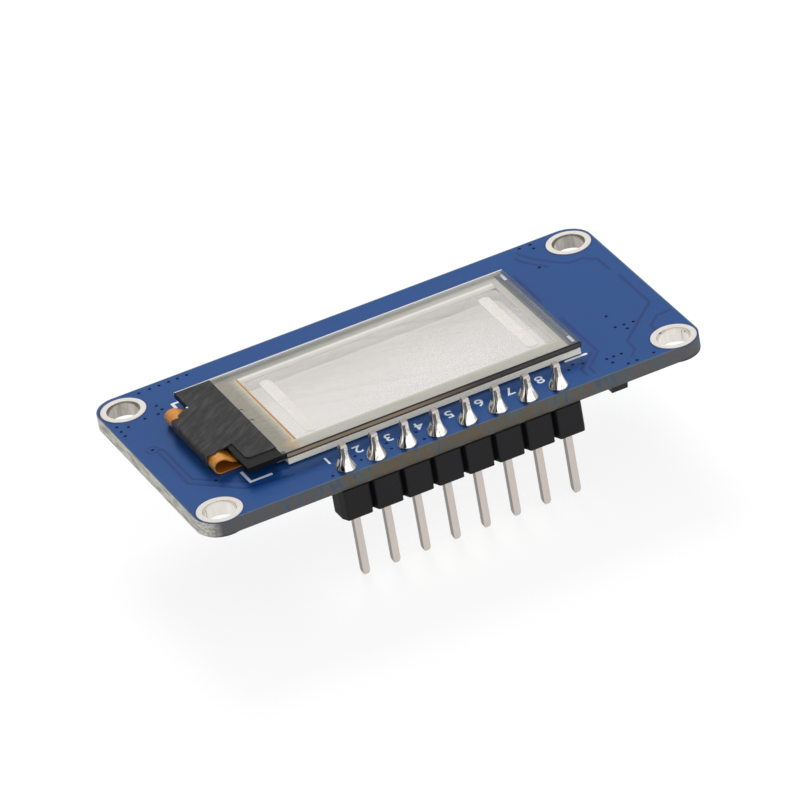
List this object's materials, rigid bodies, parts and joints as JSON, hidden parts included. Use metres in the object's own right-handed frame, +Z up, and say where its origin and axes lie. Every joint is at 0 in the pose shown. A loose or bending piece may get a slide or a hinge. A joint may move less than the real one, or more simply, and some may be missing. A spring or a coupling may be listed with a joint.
{
  "type": "small display module",
  "caption": "Transparent glass display over a cut-out in a blue circuit board, with mounting holes in the corners and a row of square pins that point down.",
  "frame": {"origin": "centre of the four mounting holes, on the underside of the circuit board", "axes": "+Z up out of the display's face, +X along the pin row and the board's long side, +Y from the pin row to the opposite edge"},
  "size_m": [0.042, 0.0222, 0.0115],
  "materials": {
    "blue_board": "blue solder mask on glass-epoxy laminate",
    "silver_plating": "bright silver plating",
    "display_glass": "polished clear glass",
    "clear_film": "clear film",
    "grey_seal": "cured grey sealing resin",
    "amber_film": "amber polyimide film",
    "white_strip": "white drying sheet",
    "silicon": "polished silicon",
    "black_tape": "matte black tape",
    "black_foam": "black foam",
    "black_plastic": "moulded black plastic",
    "tinned_pin": "tin plated brass",
    "solder": "bright solder",
    "tan_ceramic": "fired ceramic with tinned ends",
    "black_ceramic": "black glazed ceramic with tinned ends"
  },
  "bodies": {
    "root": {"circuit_board": "blue_board", "mounting_eyelet_1": "silver_plating", "mounting_eyelet_2": "silver_plating", "mounting_eyelet_3": "silver_plating", "mounting_eyelet_4": "silver_plating", "adhesive_frame": "clear_film", "cover_glass": "display_glass", "drying_strip_left": "white_strip", "drying_strip_right": "white_strip", "edge_seal": "grey_seal", "lit_layer": "clear_film", "insulation_strip": "amber_film", "carrier_glass": "display_glass", "driver_chip": "silicon", "flat_cable": "amber_film", "cable_bond": "solder", "ledge_pad_front": "black_foam", "ledge_pad_rear": "black_foam", "shade_tape": "black_tape", "pin_housing": "black_plastic", "pin_1": "tinned_pin", "pin_2": "tinned_pin", "pin_3": "tinned_pin", "pin_4": "tinned_pin", "pin_5": "tinned_pin", "pin_6": "tinned_pin", "pin_7": "tinned_pin", "pin_8": "tinned_pin", "solder_joint_1": "solder", "solder_joint_2": "solder", "solder_joint_3": "solder", "solder_joint_4": "solder", "solder_joint_5": "solder", "solder_joint_6": "solder", "solder_joint_7": "solder", "solder_joint_8": "solder", "regulator_body": "black_plastic", "regulator_lead_1": "tinned_pin", "regulator_lead_2": "tinned_pin", "regulator_lead_3": "tinned_pin", "regulator_lead_4": "tinned_pin", "regulator_lead_5": "tinned_pin", "capacitor_1": "tan_ceramic", "capacitor_2": "tan_ceramic", "capacitor_3": "tan_ceramic", "capacitor_4": "tan_ceramic", "capacitor_5": "tan_ceramic", "capacitor_6": "tan_ceramic", "resistor_1": "black_ceramic", "resistor_2": "black_ceramic", "resistor_3": "black_ceramic", "resistor_4": "black_ceramic", "resistor_5": "black_ceramic"}
  },
  "joints": []
}
